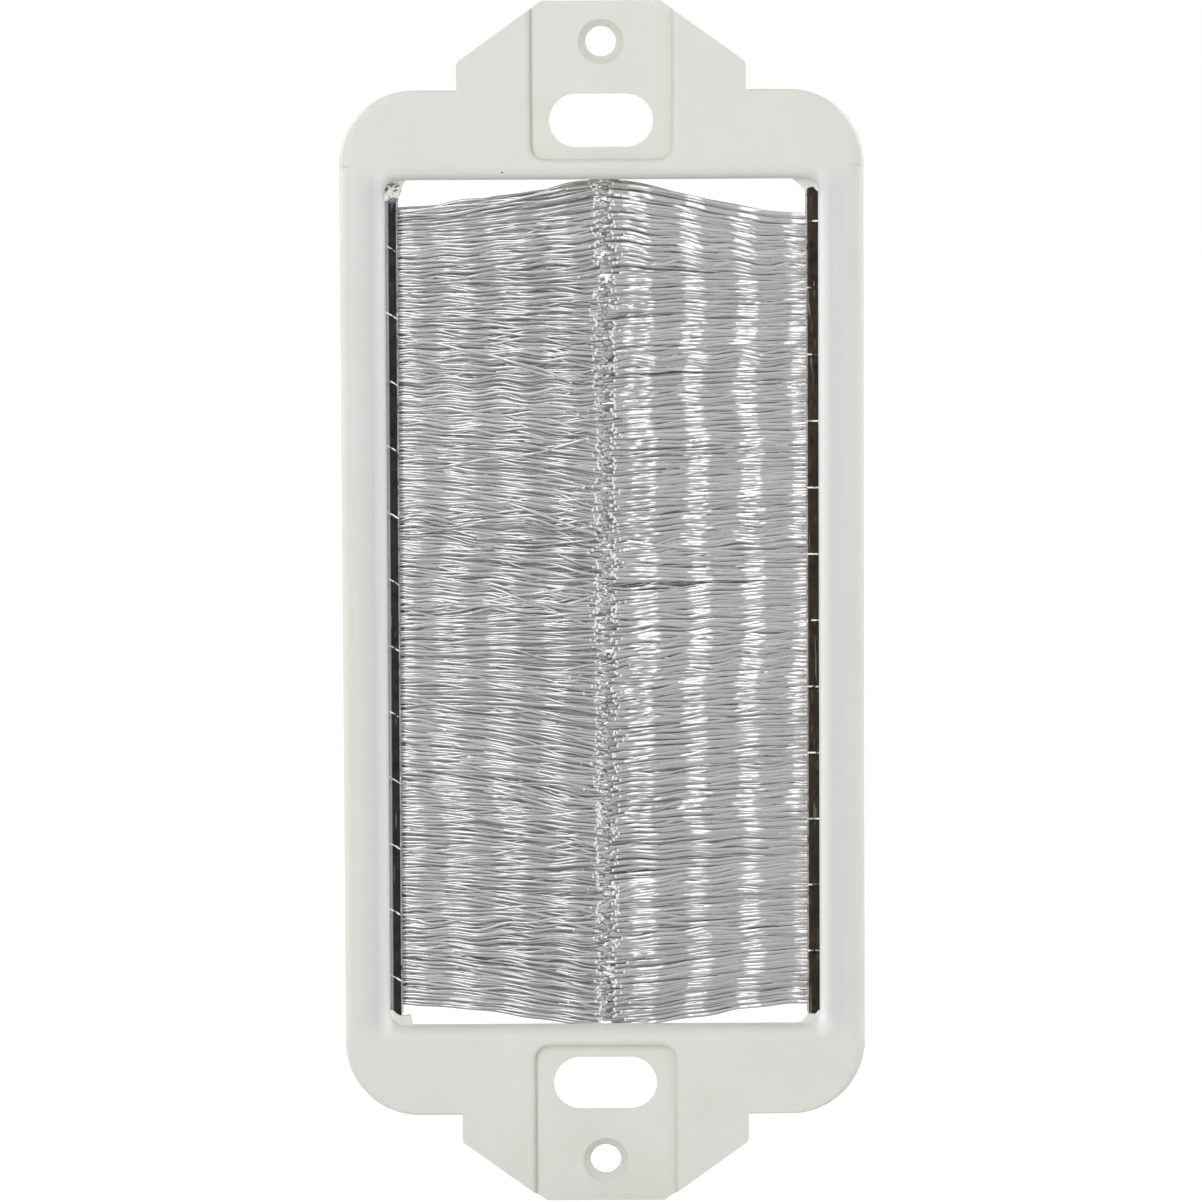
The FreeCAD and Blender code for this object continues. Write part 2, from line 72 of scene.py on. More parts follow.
# Lamps: azimuth, elevation, distance, width, height and watts
LAMPS = {
    "strip_left": (-21.0, 8.0, 1.0, 0.42, 1.4, 8.0),
    "front_right": (34.0, 25.0, 1.1, 1.2, 1.0, 2.6),
    "back_left": (-112.0, 25.0, 0.9, 0.5, 0.8, 4.6),
    "back_right": (112.0, 25.0, 0.9, 0.5, 0.8, 5.0),
    "top_front": (-5.0, 60.0, 1.1, 0.9, 0.6, 1.0),
}
WORLD_FILL = 0.20
FLOOR_GLOW = 0.95
FLOOR_HALF = 4.0
FLOOR_DROP = 0.4 * MM
WHITE = (1.0, 1.0, 1.0, 1.0)

# From here on lengths are in millimetres. Where the solids hold the brushes
channel_box, wire_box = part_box("channel_right"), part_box("core_wire_right")
MOUTH_X = channel_box[0].x / MM
CHANNEL_Z = channel_box[1].z / MM
CHANNEL_SHOW = 1.05
WINDOW_X = MOUTH_X + CHANNEL_SHOW
WINDOW_END = 36.6
WIRE_X = (wire_box[0].x + wire_box[1].x) / 2 / MM
MIDDLE_Y = (wire_box[0].y + wire_box[1].y) / 2 / MM
NICK_START, NICK_PITCH = 3.1, 5.75

# Paint: its two tones, a band of painted shade and a painted highlight along the edge beside the window
# where the rim rolls back, dark specks and chips
PAINT_TONES = ((0.675, 0.675, 0.628), (0.710, 0.710, 0.668))
PAINTED_SHADE_COLOUR, PAINTED_SHADE_X = (0.618, 0.626, 0.612), (22.0, 20.0)
PAINTED_HIGHLIGHT_COLOUR, PAINTED_HIGHLIGHT_X = (0.84, 0.84, 0.83), (19.7, 18.9)
BESIDE_X, BESIDE_Z = (18.2, 18.6), (38.0, 36.0)
SPECK_COLOUR = (0.10, 0.09, 0.08)
SPECKS = (
    (1.5, 39.3, 0.2),
    (-8.5, 37.2, 0.17),
    (5.2, -42.2, 0.2),
    (8.0, -50.1, 0.17),
    (-9.8, -37.0, 0.2),
)
CHIP_COLOUR, CHIP_PLACE, CHIP_REACH = (0.09, 0.09, 0.09), (-18.0, 1.4, 35.7), (1.0, 0.6)

# Channel steel: its lip's painted highlight, the painted reflection of the rim along the window's edge,
# where it is nicked, and its upper end, grey-blue and paler towards the end
SCRATCH_COLOUR, SCRATCH_SHARE = (0.35, 0.32, 0.28), 0.3
LIP_HIGHLIGHT_COLOUR, LIP_HIGHLIGHT_X = (0.52, 0.51, 0.48), (MOUTH_X + 0.15, MOUTH_X + 0.08)
RIM_REFLECTION_COLOUR = (0.30, 0.32, 0.34)
RIM_REFLECTION_INNER_X = (WINDOW_X - 0.30, WINDOW_X - 0.18)
RIM_REFLECTION_OUTER_X = (WINDOW_X + 0.25, WINDOW_X + 0.1)
NICK_COLOUR, NICK_WIDTHS = (0.85, 0.84, 0.80), (0.09, 0.04)
UPPER_END_Z, UPPER_END_RAMP_Z = (34.5, 34.8), (34.6, 36.0)
UPPER_END_DARK, UPPER_END_PALE = (0.11, 0.13, 0.14), (0.42, 0.43, 0.42)

# Webs of strap over the channels' ends in the window's corners: the side and the end that each lies at, and
# its free edge as distances from the middle and from the window's end
WEB_FRONT, WEB_BACK, WEB_OUT, WEB_HIDDEN = 1.40, 2.08, 19.2, 0.4
WEB_BEVEL = 0.06
WEBS = (
    (-1, 1, (
        (16.75, 0.0), (17.0, 0.25), (17.15, 0.8), (17.35, 1.4), (17.6, 1.55), (18.0, 1.5), (18.4, 1.8),
    )),
    (1, 1, (
        (16.35, 0.0), (16.9, 0.42), (17.42, 0.93), (17.65, 0.9), (17.9, 0.76), (18.2, 0.74), (18.5, 1.1),
    )),
    (-1, -1, (
        (16.65, 0.0), (16.85, 0.95), (17.1, 0.86), (17.4, 0.8), (17.7, 0.8), (18.0, 0.9), (18.4, 1.3),
    )),
    (1, -1, (
        (16.4, 0.0), (17.05, 0.12), (17.35, 0.5), (17.6, 0.86), (17.85, 0.8), (18.25, 0.78), (18.5, 1.1),
    )),
)

# The filaments' form: folded round the wire, held in the channel's neck, fanned out and crimped
FILAMENT_RADIUS = 0.14
TUBE_SIDES = 3
FOLDS_PER_SIDE = 1150
PIECES_PER_SIDE = 3
LEG_STEPS = 26
LOOP_STEPS = 6
LOOP_RADII = (0.66, 0.99)
LOOP_TURN = 110.0
NECK_DEPTHS = (0.07, 0.74)
FAN_DEPTHS = (0.08, 2.15)
CLOSING, CLOSING_START = 0.18, 0.75
CRIMP_LENGTH = 4.6
ROOT_PART, FIRST_PART, HELD_PART = 0.02, 0.06, 0.07
FLARE_DEPTH = 6.0
CUT_LENGTH, CUT_RANK = 0.16, 0.66

# How the filaments stray, in locks and singly
PLACE_JITTER = 0.0018
RANK_POWER, BACK_RANK_SPREAD = 0.85, 0.08
LOCK_START, LOCK_WIDTH, LOCK_WANDER, LOCK_WANDER_STEP = 40.0, 2.6, 0.5, 4.0
TIP_POWER, TIP_SPREAD, TIP_SPREAD_MOST = 1.2, 0.22, 3.0
STRAY_SHARE, STRAY_REACH = 0.05, (0.3, 2.4)
PHASE_STEP, PATCH_STEP = 9.0, 3.0
CRIMP_RANGE, PATCH_RANGE = (0.75, 1.2), (0.3, 1.1)
HAIR_TURN, LOCK_LEAN = 0.6, 0.8
WILD_SHARE, WILD_LEAN = 0.012, 24.0
DROOP_DEPTH, END_DEPTH, END_LEAST, END_PLAY = 10.0, 3.0, 0.1, 0.1
LEAN_SHARE, LEAN_AT_ROOT = 0.5, 0.35
SWAY_TURN = 6.28

# The filaments' tones, darkest first, the roots' painted shadow, and how tones vary: paler with depth as
# painted light through clear nylon, from one to the next and by locks
TONES = (0.128, 0.168, 0.212, 0.265, 0.325)
ROOT_SHADOW_TONE = 0.06
CUT_COLOUR = (0.86, 0.86, 0.84, 1.0)
SHADE_LOCKS = 40.0
DEPTH_PAINTED_LIGHT, DEPTH_PAINTED_LIGHT_RANK, SHADE_HAIR, SHADE_LOCK = 0.9, 0.85, 0.06, 0.10

# How each brush lies. root_z and tip_z are its ends at the channel and at the tips, and tip_x is how far
# from the middle its deepest and its outermost filaments stop. flare and ease say how its ends spread along
# a leg. crimp is the waves' height, patch how far it varies, phase where the waves start, lock and hair how
# far the phase strays by locks and singly, and turn how far the waves turn sideways. lean and droop are in
# degrees, and sway is the height of a slower wave. tone is the shade of the outermost filaments, rounding
# the half angle over which a filament's face is shaded, and roll how far the faces turn.
LAY = {
    "left": {
        "sign": -1,
        "seed": 11,
        "root_z": (-34.9, 34.0),
        "tip_z": (-36.9, 36.4),
        "tip_x": (-0.55, 0.56),
        "flare": 1.45,
        "ease": 0.0,
        "crimp": 0.17,
        "patch": 0.25,
        "phase": 0.56 * math.pi,
        "lock": 0.50,
        "hair": 0.42,
        "turn": 0.40,
        "lean": 6.5,
        "droop": 6.0,
        "sway": 0.12,
        "tone": 0.30,
        "rounding": math.radians(38.0),
        "roll": 0.20,
    },
    "right": {
        "sign": 1,
        "seed": 23,
        "root_z": (-35.0, 33.45),
        "tip_z": (-36.9, 36.4),
        "tip_x": (-0.40, 1.00),
        "flare": 2.0,
        "ease": 0.8,
        "crimp": 0.30,
        "patch": 0.30,
        "phase": -0.50 * math.pi,
        "lock": 0.36,
        "hair": 0.33,
        "turn": 0.25,
        "lean": 3.3,
        "droop": 5.0,
        "sway": 0.06,
        "tone": -0.06,
        "rounding": math.radians(17.0),
        "roll": 0.10,
    },
}


def add_node(tree, kind, values=None, **settings):
    """A shader node with its properties and its sockets' values set."""
    made = tree.nodes.new("ShaderNode" + kind)
    for name, value in settings.items():
        setattr(made, name, value)
    for socket, value in (values or {}).items():
        made.inputs[socket].default_value = value
    return made


def new_material(name, values):
    """A material, its node tree and its shader, with the shader's values set."""
    material = bpy.data.materials.new(name)
    material.use_nodes = True
    shader = material.node_tree.nodes["Principled BSDF"]
    for socket, value in values.items():
        shader.inputs[socket].default_value = value
    return material, material.node_tree, shader


def object_place(tree):
    """The place on the object, and its three coordinates."""
    place = add_node(tree, "TexCoord").outputs["Object"]
    parts = add_node(tree, "SeparateXYZ")
    tree.links.new(place, parts.inputs[0])
    return place, parts.outputs


def math_node(tree, operation, first, second=0.0, clamp=False):
    made = add_node(tree, "Math", operation=operation, use_clamp=clamp)
    for socket, value in zip(made.inputs, (first, second)):
        if isinstance(value, (int, float)):
            socket.default_value = value
        else:
            tree.links.new(value, socket)
    return made.outputs[0]


def multiply(tree, first, second):
    return math_node(tree, "MULTIPLY", first, second)


def distance_to(tree, place, point):
    """How far the place is from a point given in millimetres."""
    made = add_node(tree, "VectorMath", operation="DISTANCE")
    tree.links.new(place, made.inputs[0])
    made.inputs[1].default_value = [part * MM for part in point]
    return made.outputs["Value"]


def stretch(tree, place, scales):
    made = add_node(tree, "VectorMath", operation="MULTIPLY")
    made.inputs[1].default_value = scales
    tree.links.new(place, made.inputs[0])
    return made.outputs[0]


def mix_colour(tree, factor, first, second):
    """Mixes two colours, each a tuple or another node's output."""
    made = add_node(tree, "Mix", data_type="RGBA")
    tree.links.new(factor, made.inputs[0])
    for socket, value in ((made.inputs[6], first), (made.inputs[7], second)):
        if isinstance(value, tuple):
            socket.default_value = (*value, 1.0)
        else:
            tree.links.new(value, socket)
    return made.outputs[2]


def noise(tree, place, scale, detail=3.0, roughness=0.55):
    made = add_node(tree, "TexNoise", {"Scale": scale, "Detail": detail, "Roughness": roughness})
    tree.links.new(place, made.inputs["Vector"])
    return made.outputs["Fac"]


def ramp(tree, value, low, high):
    """Runs from 0 to 1 as the value goes from low to high."""
    made = add_node(tree, "MapRange", {"From Min": low, "From Max": high}, clamp=True)
    tree.links.new(value, made.inputs["Value"])
    return made.outputs["Result"]


def ramp_mm(tree, value, ends):
    return ramp(tree, value, ends[0] * MM, ends[1] * MM)


def bump(tree, height, strength, distance, shader):
    made = add_node(tree, "Bump", {"Strength": strength, "Distance": distance})
    tree.links.new(height, made.inputs["Height"])
    tree.links.new(made.outputs["Normal"], shader.inputs["Normal"])


def paint_material():
    """Off-white powder coat: fine grain, faint blotches, dark specks and the rolled edge's painted shade
    and painted highlight.
    """
    material, tree, shader = new_material("painted_steel", {"Roughness": 0.42})
    place, parts = object_place(tree)
    colour = mix_colour(tree, ramp(tree, noise(tree, place, 160.0), 0.3, 0.7), *PAINT_TONES)

    across = math_node(tree, "ABSOLUTE", parts["X"])
    beside = ramp_mm(tree, math_node(tree, "ABSOLUTE", parts["Z"]), BESIDE_Z)
    beside = multiply(tree, beside, ramp_mm(tree, across, BESIDE_X))
    # painted shade where the rolled rim turns away from the front, then a painted highlight along the
    # window's edge
    colour = mix_colour(tree, multiply(tree, ramp_mm(tree, across, PAINTED_SHADE_X), beside), colour, PAINTED_SHADE_COLOUR)
    colour = mix_colour(tree, multiply(tree, ramp_mm(tree, across, PAINTED_HIGHLIGHT_X), beside), colour, PAINTED_HIGHLIGHT_COLOUR)

    near_speck = 0.0
    for x, z, radius in SPECKS:
        spot = math_node(tree, "LESS_THAN", distance_to(tree, place, (x, 0.0, z)), radius * MM)
        near_speck = math_node(tree, "MAXIMUM", near_speck, spot)
    colour = mix_colour(tree, near_speck, colour, SPECK_COLOUR)

    chipped = ramp_mm(tree, distance_to(tree, place, CHIP_PLACE), CHIP_REACH)
    chips = ramp(tree, noise(tree, place, 2600.0, 4.0, 0.7), 0.5, 0.56)
    colour = mix_colour(tree, multiply(tree, chipped, chips), colour, CHIP_COLOUR)
    tree.links.new(colour, shader.inputs["Base Color"])
    bump(tree, noise(tree, place, 2200.0, 2.0), 0.12, 0.08 * MM, shader)
    return material


def channel_material(name, side, dark, slant, rim_reflection_strength, upper_end_strength):
    """Oiled dark strip steel with a painted highlight along its lip, scratches, and bright metal where it
    was nicked.

    Slant is the nicks' slope, the next argument the strength of the painted reflection of the rim along
    the window's edge, and the last that of the grey-blue upper end, paler towards the end.
    """
    material, tree, shader = new_material(name, {"Metallic": 0.85})
    place, parts = object_place(tree)
    across, height = multiply(tree, parts["X"], side), parts["Z"]
    stains = ramp(tree, noise(tree, place, 900.0, 5.0), 0.35, 0.75)
    colour = mix_colour(tree, stains, dark, tuple(1.9 * part + 0.003 for part in dark))

    lengthwise = stretch(tree, place, (6000.0, 6000.0, 300.0))
    scratch = ramp(tree, noise(tree, lengthwise, 1.0, 2.0), 0.66, 0.72)
    colour = mix_colour(tree, multiply(tree, scratch, SCRATCH_SHARE), colour, SCRATCH_COLOUR)
    # painted highlight along the lip at the mouth, broken up by noise
    lip_breakup = ramp(tree, noise(tree, place, 1500.0, 4.0), 0.25, 0.5)
    colour = mix_colour(tree, multiply(tree, ramp_mm(tree, across, LIP_HIGHLIGHT_X), lip_breakup), colour, LIP_HIGHLIGHT_COLOUR)
    # painted reflection of the rim: a grey-blue strip along the window's edge
    rim_reflection = multiply(tree, ramp_mm(tree, across, RIM_REFLECTION_INNER_X), ramp_mm(tree, across, RIM_REFLECTION_OUTER_X))
    colour = mix_colour(tree, multiply(tree, rim_reflection, rim_reflection_strength), colour, RIM_REFLECTION_COLOUR)

    slanted = multiply(tree, math_node(tree, "SUBTRACT", across, MOUTH_X * MM), slant)
    row = math_node(tree, "ADD", multiply(tree, height, side), slanted)
    row = math_node(tree, "SUBTRACT", (CHANNEL_Z - NICK_START + NICK_PITCH / 2) * MM, row)
    row = math_node(tree, "FRACT", math_node(tree, "DIVIDE", row, NICK_PITCH * MM))
    off = math_node(tree, "ABSOLUTE", math_node(tree, "SUBTRACT", row, 0.5))
    nick = ramp(tree, off, *(width / NICK_PITCH for width in NICK_WIDTHS))
    bright = ramp(tree, noise(tree, place, 2400.0, 2.0), 0.40, 0.58)
    colour = mix_colour(tree, multiply(tree, nick, bright), colour, NICK_COLOUR)

    # the upper end turns grey-blue, paler towards the end
    upper_end_mask = multiply(tree, ramp_mm(tree, height, UPPER_END_Z), upper_end_strength)
    upper_end_colour = mix_colour(tree, ramp_mm(tree, height, UPPER_END_RAMP_Z), UPPER_END_DARK, UPPER_END_PALE)
    tree.links.new(mix_colour(tree, upper_end_mask, colour, upper_end_colour), shader.inputs["Base Color"])
    tree.links.new(ramp(tree, stains, -0.6, 2.4), shader.inputs["Roughness"])
    bump(tree, scratch, 0.2, 0.02 * MM, shader)
    return material


def wire_material():
    """Bright drawn wire, with faint lines along it."""
    material, tree, shader = new_material("wire_steel", {"Metallic": 1.0, "Roughness": 0.3})
    place, _ = object_place(tree)
    lines = noise(tree, stretch(tree, place, (9000.0, 9000.0, 150.0)), 1.0, 2.0)
    colour = mix_colour(tree, lines, (0.42, 0.41, 0.40), (0.60, 0.59, 0.57))
    tree.links.new(colour, shader.inputs["Base Color"])
    bump(tree, lines, 0.15, 0.02 * MM, shader)
    return material


def nylon_materials():
    """Clear nylon in a few tones, as bundles of it look, its roots darkened by painted shadow and the white
    of its cut ends.
    """
    made = []
    for number, tone in enumerate(TONES + (ROOT_SHADOW_TONE,)):
        values = {
            "Base Color": (tone, tone, tone * 0.97, 1.0),
            "Roughness": 0.27,
            "IOR": 2.12,
            "Specular IOR Level": 1.0,
        }
        made.append(new_material("nylon_%d" % number, values)[0])
    made.append(new_material("nylon_cut", {"Base Color": CUT_COLOUR, "Roughness": 0.35})[0])
    return made


def dress(node, material):
    """Gives a solid its material."""
    slots = nodes[node].data.materials
    slots.clear()
    slots.append(material)


def add_object(name, data):
    made = bpy.data.objects.new(name, data)
    scene.collection.objects.link(made)
    return made


def smooth_noise(rng, places, step):
    """Smooth random values along a line, about -1 to 1, with a bend every step."""
    low = places.min() - step
    knots = rng.normal(0.0, 0.6, int((places.max() - low) / step) + 3)
    along = (places - low) / step
    index = along.astype(int)
    part = along - index
    part = part * part * (3 - 2 * part)
    return knots[index] * (1 - part) + knots[index + 1] * part


def between(ends, part):
    return ends[0] + (ends[1] - ends[0]) * part


def leg_points(rng, lay, place, rank, facing):
    """Points of each filament's leg from the channel's mouth to its tip, one row a leg.

    Place runs from 0 to 1 along the channel, rank from the middle of the brush to its skin,
    and facing is -1 for the front.
    """
    count = len(place)
    run = np.concatenate(((0.0, ROOT_PART), np.linspace(FIRST_PART, 1.0, LEG_STEPS - 2)))[None, :]
    held = np.clip(run / HELD_PART, 0.0, 1.0)
    root_z = between(lay["root_z"], place)
    wander = LOCK_WANDER * smooth_noise(rng, root_z, LOCK_WANDER_STEP)
    lock = np.floor((root_z + LOCK_START) / LOCK_WIDTH + wander).astype(int)

    def lock_spread(size):
        return rng.normal(0.0, size, lock.max() + 1)[lock]

    spread = rng.exponential(TIP_SPREAD, count)
    strays = rng.random(count) < STRAY_SHARE
    spread[strays] += rng.uniform(*STRAY_REACH, strays.sum())
    tip_x = between(lay["tip_x"], rank ** TIP_POWER) + np.minimum(spread, TIP_SPREAD_MOST)
    x = MOUTH_X + (tip_x[:, None] - MOUTH_X) * run

    neck, fan = between(NECK_DEPTHS, rank), between(FAN_DEPTHS, rank)
    depth = neck[:, None] + (fan - neck)[:, None] * run
    closing = np.clip((run - CLOSING_START) / (1.0 - CLOSING_START), 0.0, 1.0)
    depth = depth * (1.0 - CLOSING * closing ** 2)

    phase = lay["phase"] + lock_spread(lay["lock"]) + lay["lock"] * smooth_noise(rng, root_z, PHASE_STEP)
    phase = phase + rng.normal(0.0, lay["hair"], count)
    angle = 2 * math.pi * lay["sign"] * x / CRIMP_LENGTH + phase[:, None]
    strength = rng.uniform(*CRIMP_RANGE, count)
    patches = 1.0 + lay["patch"] * smooth_noise(rng, root_z, PATCH_STEP)
    strength = strength * np.clip(patches, *PATCH_RANGE)
    crimp = lay["crimp"] * strength[:, None] * held * np.sin(angle)
    turn = (lock_spread(lay["turn"]) + rng.normal(0.0, HAIR_TURN * lay["turn"], count))[:, None]
    y = MIDDLE_Y + facing * depth + crimp * np.cos(turn)

    from_end = np.minimum(place, 1.0 - place) * (lay["root_z"][1] - lay["root_z"][0])
    lean = lock_spread(LOCK_LEAN * lay["lean"]) + rng.normal(0.0, lay["lean"], count)
    lean = np.radians(lean - lay["droop"] * np.clip(from_end / DROOP_DEPTH, 0.0, 1.0))
    wild = rng.random(count) < WILD_SHARE
    lean[wild] += np.radians(rng.uniform(-WILD_LEAN, WILD_LEAN, wild.sum()))
    inner = np.clip(from_end / END_DEPTH, END_LEAST, 1.0)[:, None]
    flare = run ** lay["flare"] + lay["ease"] * (3 * run ** 2 - 2 * run ** 3 - run ** lay["flare"])
    (low, high), (tip_low, tip_high) = lay["root_z"], lay["tip_z"]
    splay = (tip_high - high) * np.exp((root_z - high) / FLARE_DEPTH)
    splay = splay + (tip_low - low) * np.exp((low - root_z) / FLARE_DEPTH)
    z = root_z[:, None] + splay[:, None] * flare
    grown = LEAN_AT_ROOT + (1.0 - LEAN_AT_ROOT) * run
    z = z + np.tan(lean)[:, None] * inner * (MOUTH_X - x) * grown * LEAN_SHARE
    z = z + crimp * np.sin(turn) * inner
    sway = lay["sway"] * rng.normal(0.0, 1.0, count)[:, None]
    z = z + sway * np.sin(angle * 0.5 + rng.uniform(0.0, SWAY_TURN, count)[:, None]) * held
    z = np.clip(z, tip_low - END_PLAY, tip_high + END_PLAY)
    return np.stack((x * lay["sign"], y, z), axis=2)


def fold_points(rng, lay, count):
    """Filaments folded round the core wire: a back leg, a turn round the wire and a front leg."""
    place = np.linspace(0.0, 1.0, count) + rng.normal(0.0, PLACE_JITTER, count)
    place = np.clip(place, 0.0, 1.0)
    rank = rng.random(count) ** RANK_POWER
    back_rank = np.clip(rank + rng.normal(0.0, BACK_RANK_SPREAD, count), 0.0, 1.0)
    front = leg_points(rng, lay, place, rank, -1)
    back = leg_points(rng, lay, place, back_rank, 1)
    radius = between(LOOP_RADII, rank)[:, None]
    turn = np.radians(np.linspace(LOOP_TURN, -LOOP_TURN, LOOP_STEPS))[None, :]
    loop_x = lay["sign"] * (WIRE_X + radius * np.cos(turn))
    loop_y = MIDDLE_Y + radius * np.sin(turn)
    loop_z = np.broadcast_to(between(lay["root_z"], place)[:, None], loop_x.shape)
    loop = np.stack((loop_x, loop_y, loop_z), axis=2)
    return np.concatenate((back[:, ::-1], loop, front), axis=1), place, rank


def with_cut_ends(paths, length):
    """Adds a point a short way in from both tips, so that the cut end is a short length of its own."""
    def inset(tip, inner):
        step = inner - tip
        return tip + step * (length / np.linalg.norm(step, axis=2, keepdims=True))

    first = inset(paths[:, :1], paths[:, 1:2])
    last = inset(paths[:, -1:], paths[:, -2:-1])
    return np.concatenate((paths[:, :1], first, paths[:, 1:-1], last, paths[:, -1:]), axis=1)


def tube_mesh(name, paths, twist, rounding, tones, bright, materials):
    """Three-sided tubes along the paths as one mesh, each with a face turned out of the brush.

    Tones are the numbers of their materials, and bright says which have white cut ends. The last two
    materials are those of the roots, dark with painted shadow, and of the cut ends.
    """
    count, length, _ = paths.shape
    along = np.gradient(paths, axis=1)
    along /= np.linalg.norm(along, axis=2, keepdims=True)
    up = np.array((0.0, 0.0, 1.0)) - along[:, :, 2:3] * along
    up /= np.linalg.norm(up, axis=2, keepdims=True)
    out = np.cross(along, up)
    sides = TUBE_SIDES
    angles = twist[:, None] + np.arange(sides)[None, :] * (2 * math.pi / sides)

    def around(turn):
        turn = turn[:, None, :, None]
        return out[:, :, None, :] * np.cos(turn) + up[:, :, None, :] * np.sin(turn)

    points = (paths[:, :, None, :] + FILAMENT_RADIUS * around(angles)) * MM
    rounded = np.array((0.0, math.pi - rounding, math.pi + rounding))
    normals = around(twist[:, None] + rounded[None, :]).reshape(-1, 3)

    ring = np.arange(length - 1)[:, None] * sides
    side = np.arange(sides)[None, :]
    after = (side + 1) % sides
    quads = np.stack((ring + sides + side, ring + sides + after, ring + after, ring + side), axis=2)
    starts = (np.arange(count) * length * sides)[:, None, None]
    quads = (quads.reshape(1, -1, 4) + starts).reshape(-1, 4)
    last = (length - 1) * sides
    caps = np.array(((0, 1, 2), (last + 2, last + 1, last)))
    caps = (caps[None] + starts).reshape(-1, 3)

    slots = np.repeat(tones[:, None], (length - 1) * sides, axis=1)
    # painted shadow: the dark roots' material on the segments by the mouth and round the wire
    slots[:, (LEG_STEPS - 1) * sides:(LEG_STEPS + LOOP_STEPS + 2) * sides] = len(materials) - 2
    slots[bright, :sides] = slots[bright, -sides:] = len(materials) - 1
    cap_slots = np.repeat(slots[:, 0], 2)
    slots = np.concatenate((slots.ravel(), cap_slots)).astype(np.int32)

    mesh = bpy.data.meshes.new(name)
    mesh.vertices.add(count * length * sides)
    mesh.vertices.foreach_set("co", points.astype(np.float32).ravel())
    corners = np.concatenate((quads.ravel(), caps.ravel())).astype(np.int32)
    mesh.loops.add(len(corners))
    mesh.loops.foreach_set("vertex_index", corners)
    totals = np.concatenate((np.full(len(quads), 4), np.full(len(caps), 3))).astype(np.int32)
    mesh.polygons.add(len(totals))
    mesh.polygons.foreach_set("loop_start", (np.cumsum(totals) - totals).astype(np.int32))
    mesh.polygons.foreach_set("material_index", slots)
    mesh.polygons.foreach_set("use_smooth", np.ones(len(totals), dtype=bool))
    for material in materials:
        mesh.materials.append(material)
    mesh.update(calc_edges=True)
    mesh.validate()
    mesh.normals_split_custom_set_from_vertices(normals)
    return mesh


def make_brush(side, materials):
    """One brush's filaments, in a few pieces that take the place of its solid pad."""
    lay = LAY[side]
    rng = np.random.default_rng(lay["seed"])
    paths, place, rank = fold_points(rng, lay, FOLDS_PER_SIDE)
    paths = with_cut_ends(paths, CUT_LENGTH)
    lock = np.floor(place * SHADE_LOCKS).astype(int)
    # painted light: deeper filaments get paler tones for the light that clear nylon lets through to them
    shade = lay["tone"] + DEPTH_PAINTED_LIGHT * (DEPTH_PAINTED_LIGHT_RANK - rank) + SHADE_HAIR * rng.normal(0.0, 1.0, len(place))
    shade = shade + SHADE_LOCK * rng.normal(0.0, 1.0, lock.max() + 1)[lock]
    tones = np.clip(shade * len(TONES), 0, len(TONES) - 1).astype(int)
    outward = 0.0 if lay["sign"] > 0 else math.pi
    twist = outward + rng.normal(0.0, lay["roll"], FOLDS_PER_SIDE)
    bright = rank > CUT_RANK
    cuts = np.linspace(0, FOLDS_PER_SIDE, PIECES_PER_SIDE + 1).astype(int)
    for number, (first, last) in enumerate(zip(cuts, cuts[1:]), 1):
        name = "filaments_%s_%d" % (side, number)
        part = slice(first, last)
        looks = (lay["rounding"], tones[part], bright[part], materials)
        piece = add_object(name, tube_mesh(name, paths[part], twist[part], *looks))
        piece.visible_shadow = False
        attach(piece, "root")
        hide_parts("bristles_" + side)


def make_webs(material):
    """Flat webs of strap that close the window's corners over the channels' ends."""
    shapes = bmesh.new()
    for side, end, edge in WEBS:
        edge = edge + ((WEB_OUT, edge[-1][1]), (WEB_OUT, -WEB_HIDDEN), (edge[0][0], -WEB_HIDDEN))
        ring = []
        for x, inward in edge:
            corner = (side * x * MM, WEB_FRONT * MM, end * (WINDOW_END - inward) * MM)
            ring.append(shapes.verts.new(corner))
        face = shapes.faces.new(ring)
        grown = bmesh.ops.extrude_face_region(shapes, geom=[face])["geom"]
        moved = [piece for piece in grown if isinstance(piece, bmesh.types.BMVert)]
        bmesh.ops.translate(shapes, verts=moved, vec=(0.0, (WEB_BACK - WEB_FRONT) * MM, 0.0))
    bmesh.ops.recalc_face_normals(shapes, faces=shapes.faces)
    rounding = {"offset": WEB_BEVEL * MM, "segments": 2, "profile": 0.5, "affect": "EDGES"}
    bmesh.ops.bevel(shapes, geom=shapes.edges, **rounding)
    mesh = bpy.data.meshes.new("corner_webs")
    shapes.to_mesh(mesh)
    shapes.free()
    mesh.materials.append(material)
    piece = add_object("corner_webs", mesh)
    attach(piece, "root")


def seen_directly(tree):
    """1 for rays from the camera, reflections and glass, which see the white background."""
    rays = add_node(tree, "LightPath").outputs
    seen = math_node(tree, "ADD", rays["Is Camera Ray"], rays["Is Glossy Ray"], True)
    return math_node(tree, "ADD", seen, rays["Is Transmission Ray"], True)


def mix_by_ray(tree, lighting, seen, output):
    """Uses one shader for light that falls on the object and another for what is seen."""
    mixed = add_node(tree, "MixShader")
    tree.links.new(seen_directly(tree), mixed.inputs[0])
    tree.links.new(lighting.outputs[0], mixed.inputs[1])
    tree.links.new(seen.outputs[0], mixed.inputs[2])
    tree.links.new(mixed.outputs[0], add_node(tree, output).inputs["Surface"])


def make_world():
    world = bpy.data.worlds.new("studio")
    scene.world = world
    world.use_nodes = True
    tree = world.node_tree
    tree.nodes.clear()
    fill = add_node(tree, "Background", {"Color": WHITE, "Strength": WORLD_FILL})
    white = add_node(tree, "Background", {"Color": WHITE, "Strength": 1.0})
    mix_by_ray(tree, fill, white, "OutputWorld")


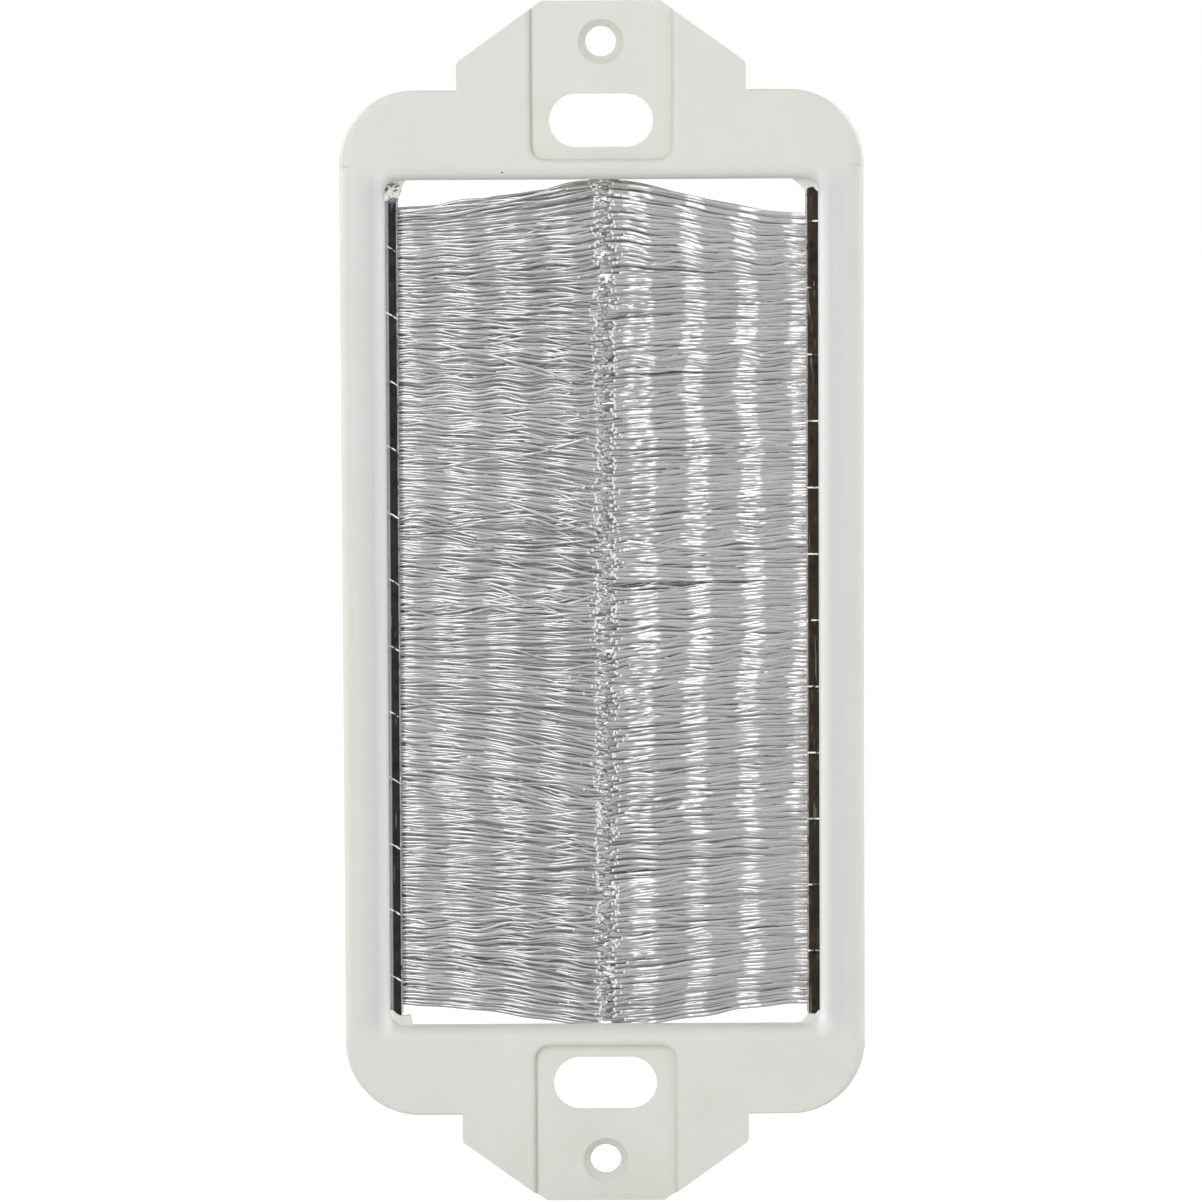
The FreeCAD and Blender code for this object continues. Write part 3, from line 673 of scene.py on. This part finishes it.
def make_floor():
    """A pale floor that looks nearly white and keeps the object's shadow."""
    level = cad_box[0][2] - FLOOR_DROP
    mesh = bpy.data.meshes.new("floor")
    corners = [(x * FLOOR_HALF, y * FLOOR_HALF, level) for x, y in ((-1, -1), (1, -1), (1, 1), (-1, 1))]
    mesh.from_pydata(corners, [], [(0, 1, 2, 3)])
    floor = add_object("floor", mesh)
    material = bpy.data.materials.new("floor_white")
    material.use_nodes = True
    tree = material.node_tree
    tree.nodes.clear()
    plain = add_node(tree, "BsdfDiffuse", {"Color": (0.8, 0.8, 0.8, 1.0)})
    shadowed = add_node(tree, "BsdfDiffuse", {"Color": (0.25, 0.25, 0.25, 1.0)})
    glow = add_node(tree, "Emission", {"Color": WHITE, "Strength": FLOOR_GLOW})
    both = add_node(tree, "AddShader")
    tree.links.new(shadowed.outputs[0], both.inputs[0])
    tree.links.new(glow.outputs[0], both.inputs[1])
    mix_by_ray(tree, plain, both, "OutputMaterial")
    mesh.materials.append(material)


def make_lamp(name, azimuth, elevation, distance, width, height, watts):
    """A soft box that faces the object. Azimuth 0 is in front of it, and positive to the right."""
    data = bpy.data.lights.new(name, "AREA")
    data.shape = "RECTANGLE"
    data.size, data.size_y = width, height
    data.energy = watts
    lamp = add_object(name, data)
    turn, rise = math.radians(azimuth), math.radians(elevation)
    away = Vector((math.sin(turn) * math.cos(rise), -math.cos(turn) * math.cos(rise), math.sin(rise)))
    lamp.location = away * distance
    lamp.rotation_mode = "QUATERNION"
    lamp.rotation_quaternion = away.to_track_quat("Z", "Y")
    lamp.visible_camera = False


def make_camera():
    data = bpy.data.cameras.new("camera")
    data.sensor_width = SENSOR_WIDTH
    data.lens = SENSOR_WIDTH * CAMERA_DISTANCE / FRAME_WIDTH
    camera = add_object("camera", data)
    rise = math.radians(CAMERA_ELEVATION)
    away = Vector((0.0, -math.cos(rise), math.sin(rise)))
    camera.location = Vector(CAMERA_AIM) + CAMERA_DISTANCE * away
    camera.rotation_mode = "QUATERNION"
    roll = Quaternion((0.0, 0.0, 1.0), math.radians(CAMERA_ROLL))
    camera.rotation_quaternion = away.to_track_quat("Z", "Y") @ roll
    scene.camera = camera


paint = paint_material()
dress("frame", paint)
make_webs(paint)
# the left channel carries the painted reflection of the rim and the grey-blue upper end
dress("channel_left", channel_material("channel_steel_left", -1, (0.010, 0.010, 0.011), 0.6, 0.9, 1.0))
dress("channel_right", channel_material("channel_steel_right", 1, (0.016, 0.012, 0.009), 0.0, 0.0, 0.0))
wire = wire_material()
for node in ("core_wire_left", "core_wire_right"):
    dress(node, wire)
nylon = nylon_materials()
for side in LAY:
    make_brush(side, nylon)

make_world()
make_floor()
for name, setting in LAMPS.items():
    make_lamp(name, *setting)
make_camera()
scene.view_settings.view_transform = "Standard"
